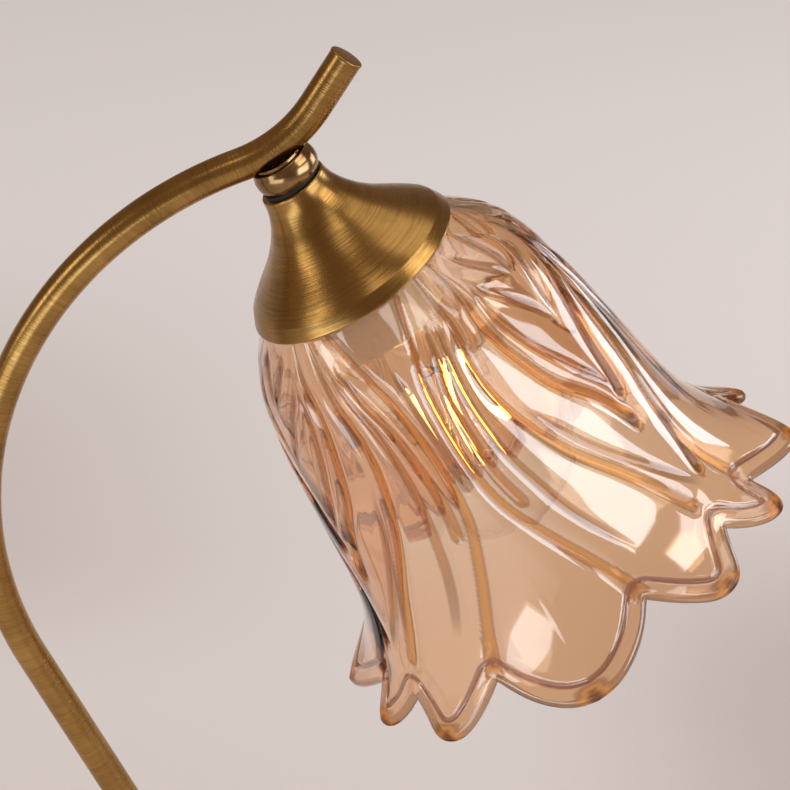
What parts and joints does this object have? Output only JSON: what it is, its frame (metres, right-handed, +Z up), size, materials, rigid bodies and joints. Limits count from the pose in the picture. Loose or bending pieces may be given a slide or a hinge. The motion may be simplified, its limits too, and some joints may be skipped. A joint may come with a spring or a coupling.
{
  "type": "tulip shade table lamp",
  "caption": "Table lamp with a round weighted base, a swept brass tube arm and a hanging flared cup that holds a pressed champagne glass flower shade.",
  "frame": {"origin": "centre of the underside of the felt under the base", "axes": "+Z up; +X from the base towards the side on which the shade hangs, in the plane of the bent arm; +Y to the back as the picture sees it"},
  "size_m": [0.2579, 0.1624, 0.4084],
  "materials": {
    "antique_brass": "brushed, lacquered antique bronze tone",
    "polished_brass": "polished antique brass",
    "raw_brass": "plain turned or pressed",
    "zinc_steel": "zinc plated",
    "cast_iron": "rough cast, black paint",
    "felt": "pressed felt",
    "black_nylon": "satin moulded",
    "white_nylon": "satin moulded",
    "lead_sheath": "smooth sheath",
    "wire_pvc": "smooth insulation",
    "porcelain": "white glaze",
    "gasket_rubber": "soft translucent ring",
    "champagne_glass": "pressed champagne glass, fire polished",
    "clear_glass": "clear, smooth",
    "black_glass": "dark vitrite",
    "nickel": "nickel plated",
    "solder": "dull solder",
    "filament": "glowing rods"
  },
  "bodies": {
    "stand": {"base_felt": "felt", "base_plate": "zinc_steel", "base_screws": "zinc_steel", "base_weight": "cast_iron", "base_cover": "antique_brass", "base_spacer": "zinc_steel", "base_washer": "zinc_steel", "base_nut": "zinc_steel", "inlet_bush": "black_nylon", "terminal_block": "white_nylon", "block_screws": "zinc_steel", "arm_ferrule": "antique_brass", "arm_stud": "zinc_steel", "arm_tube": "antique_brass", "arm_end_cap": "antique_brass", "arm_lead": "lead_sheath", "neck_collar": "polished_brass"},
    "head": {"neck_nipple": "zinc_steel", "swivel_washer": "black_nylon", "holder_cup": "antique_brass", "tooth_washer": "zinc_steel", "cup_nut": "zinc_steel", "holder_cap": "porcelain", "holder_body": "porcelain", "holder_terminals": "raw_brass", "terminal_screws": "zinc_steel", "holder_cores": "wire_pvc", "screw_shell": "raw_brass", "centre_contact": "raw_brass", "shade_gasket": "gasket_rubber", "shade_ring": "polished_brass", "glass_shade": "champagne_glass"},
    "bulb": {"bulb_cap": "nickel", "bulb_insulator": "black_glass", "bulb_contact": "solder", "bulb_glass": "clear_glass", "bulb_stem": "clear_glass", "bulb_supports": "nickel", "bulb_filaments": "filament"}
  },
  "joints": [
    {"name": "head_swivel", "type": "hinge", "parent": "stand", "child": "head", "pos_m": [0.01018, 0, 0.37745], "axis": [0.5299, 0, -0.848], "range_deg": [-170, 170]},
    {"name": "bulb_pull", "type": "slide", "parent": "head", "child": "bulb", "axis": [0.5299, 0, -0.848], "range_m": [0, 0.03]}
  ]
}
